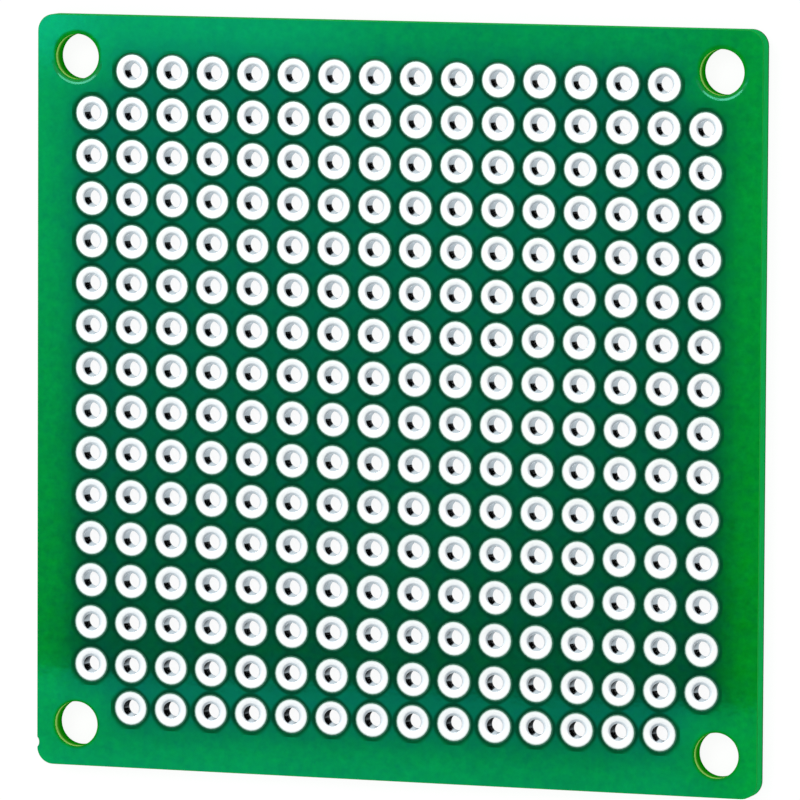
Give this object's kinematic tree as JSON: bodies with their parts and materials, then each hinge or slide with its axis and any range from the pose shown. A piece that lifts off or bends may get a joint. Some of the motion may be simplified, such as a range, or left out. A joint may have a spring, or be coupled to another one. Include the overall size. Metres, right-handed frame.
{
  "type": "prototype board",
  "caption": "Square double-sided prototype circuit board with a grid of plated lead holes, green solder mask and a mounting hole at each corner.",
  "frame": {"origin": "centre of the board's outline, on the back face that it rests on", "axes": "+Z out of the front face, +X to the right and +Y to the top of the board seen from the front, with the routing nick at the lower left"},
  "size_m": [0.045, 0.045, 0.0012],
  "materials": {
    "laminate": "routed glass-epoxy laminate, slightly translucent",
    "solder_mask": "glossy green solder mask",
    "tinned_copper": "bright hot-tinned copper"
  },
  "bodies": {
    "root": {"routed_laminate": "laminate", "solder_mask_front": "solder_mask", "solder_mask_back": "solder_mask", "plated_row_01": "tinned_copper", "plated_row_02": "tinned_copper", "plated_row_03": "tinned_copper", "plated_row_04": "tinned_copper", "plated_row_05": "tinned_copper", "plated_row_06": "tinned_copper", "plated_row_07": "tinned_copper", "plated_row_08": "tinned_copper", "plated_row_09": "tinned_copper", "plated_row_10": "tinned_copper", "plated_row_11": "tinned_copper", "plated_row_12": "tinned_copper", "plated_row_13": "tinned_copper", "plated_row_14": "tinned_copper", "plated_row_15": "tinned_copper", "plated_row_16": "tinned_copper"}
  },
  "joints": []
}
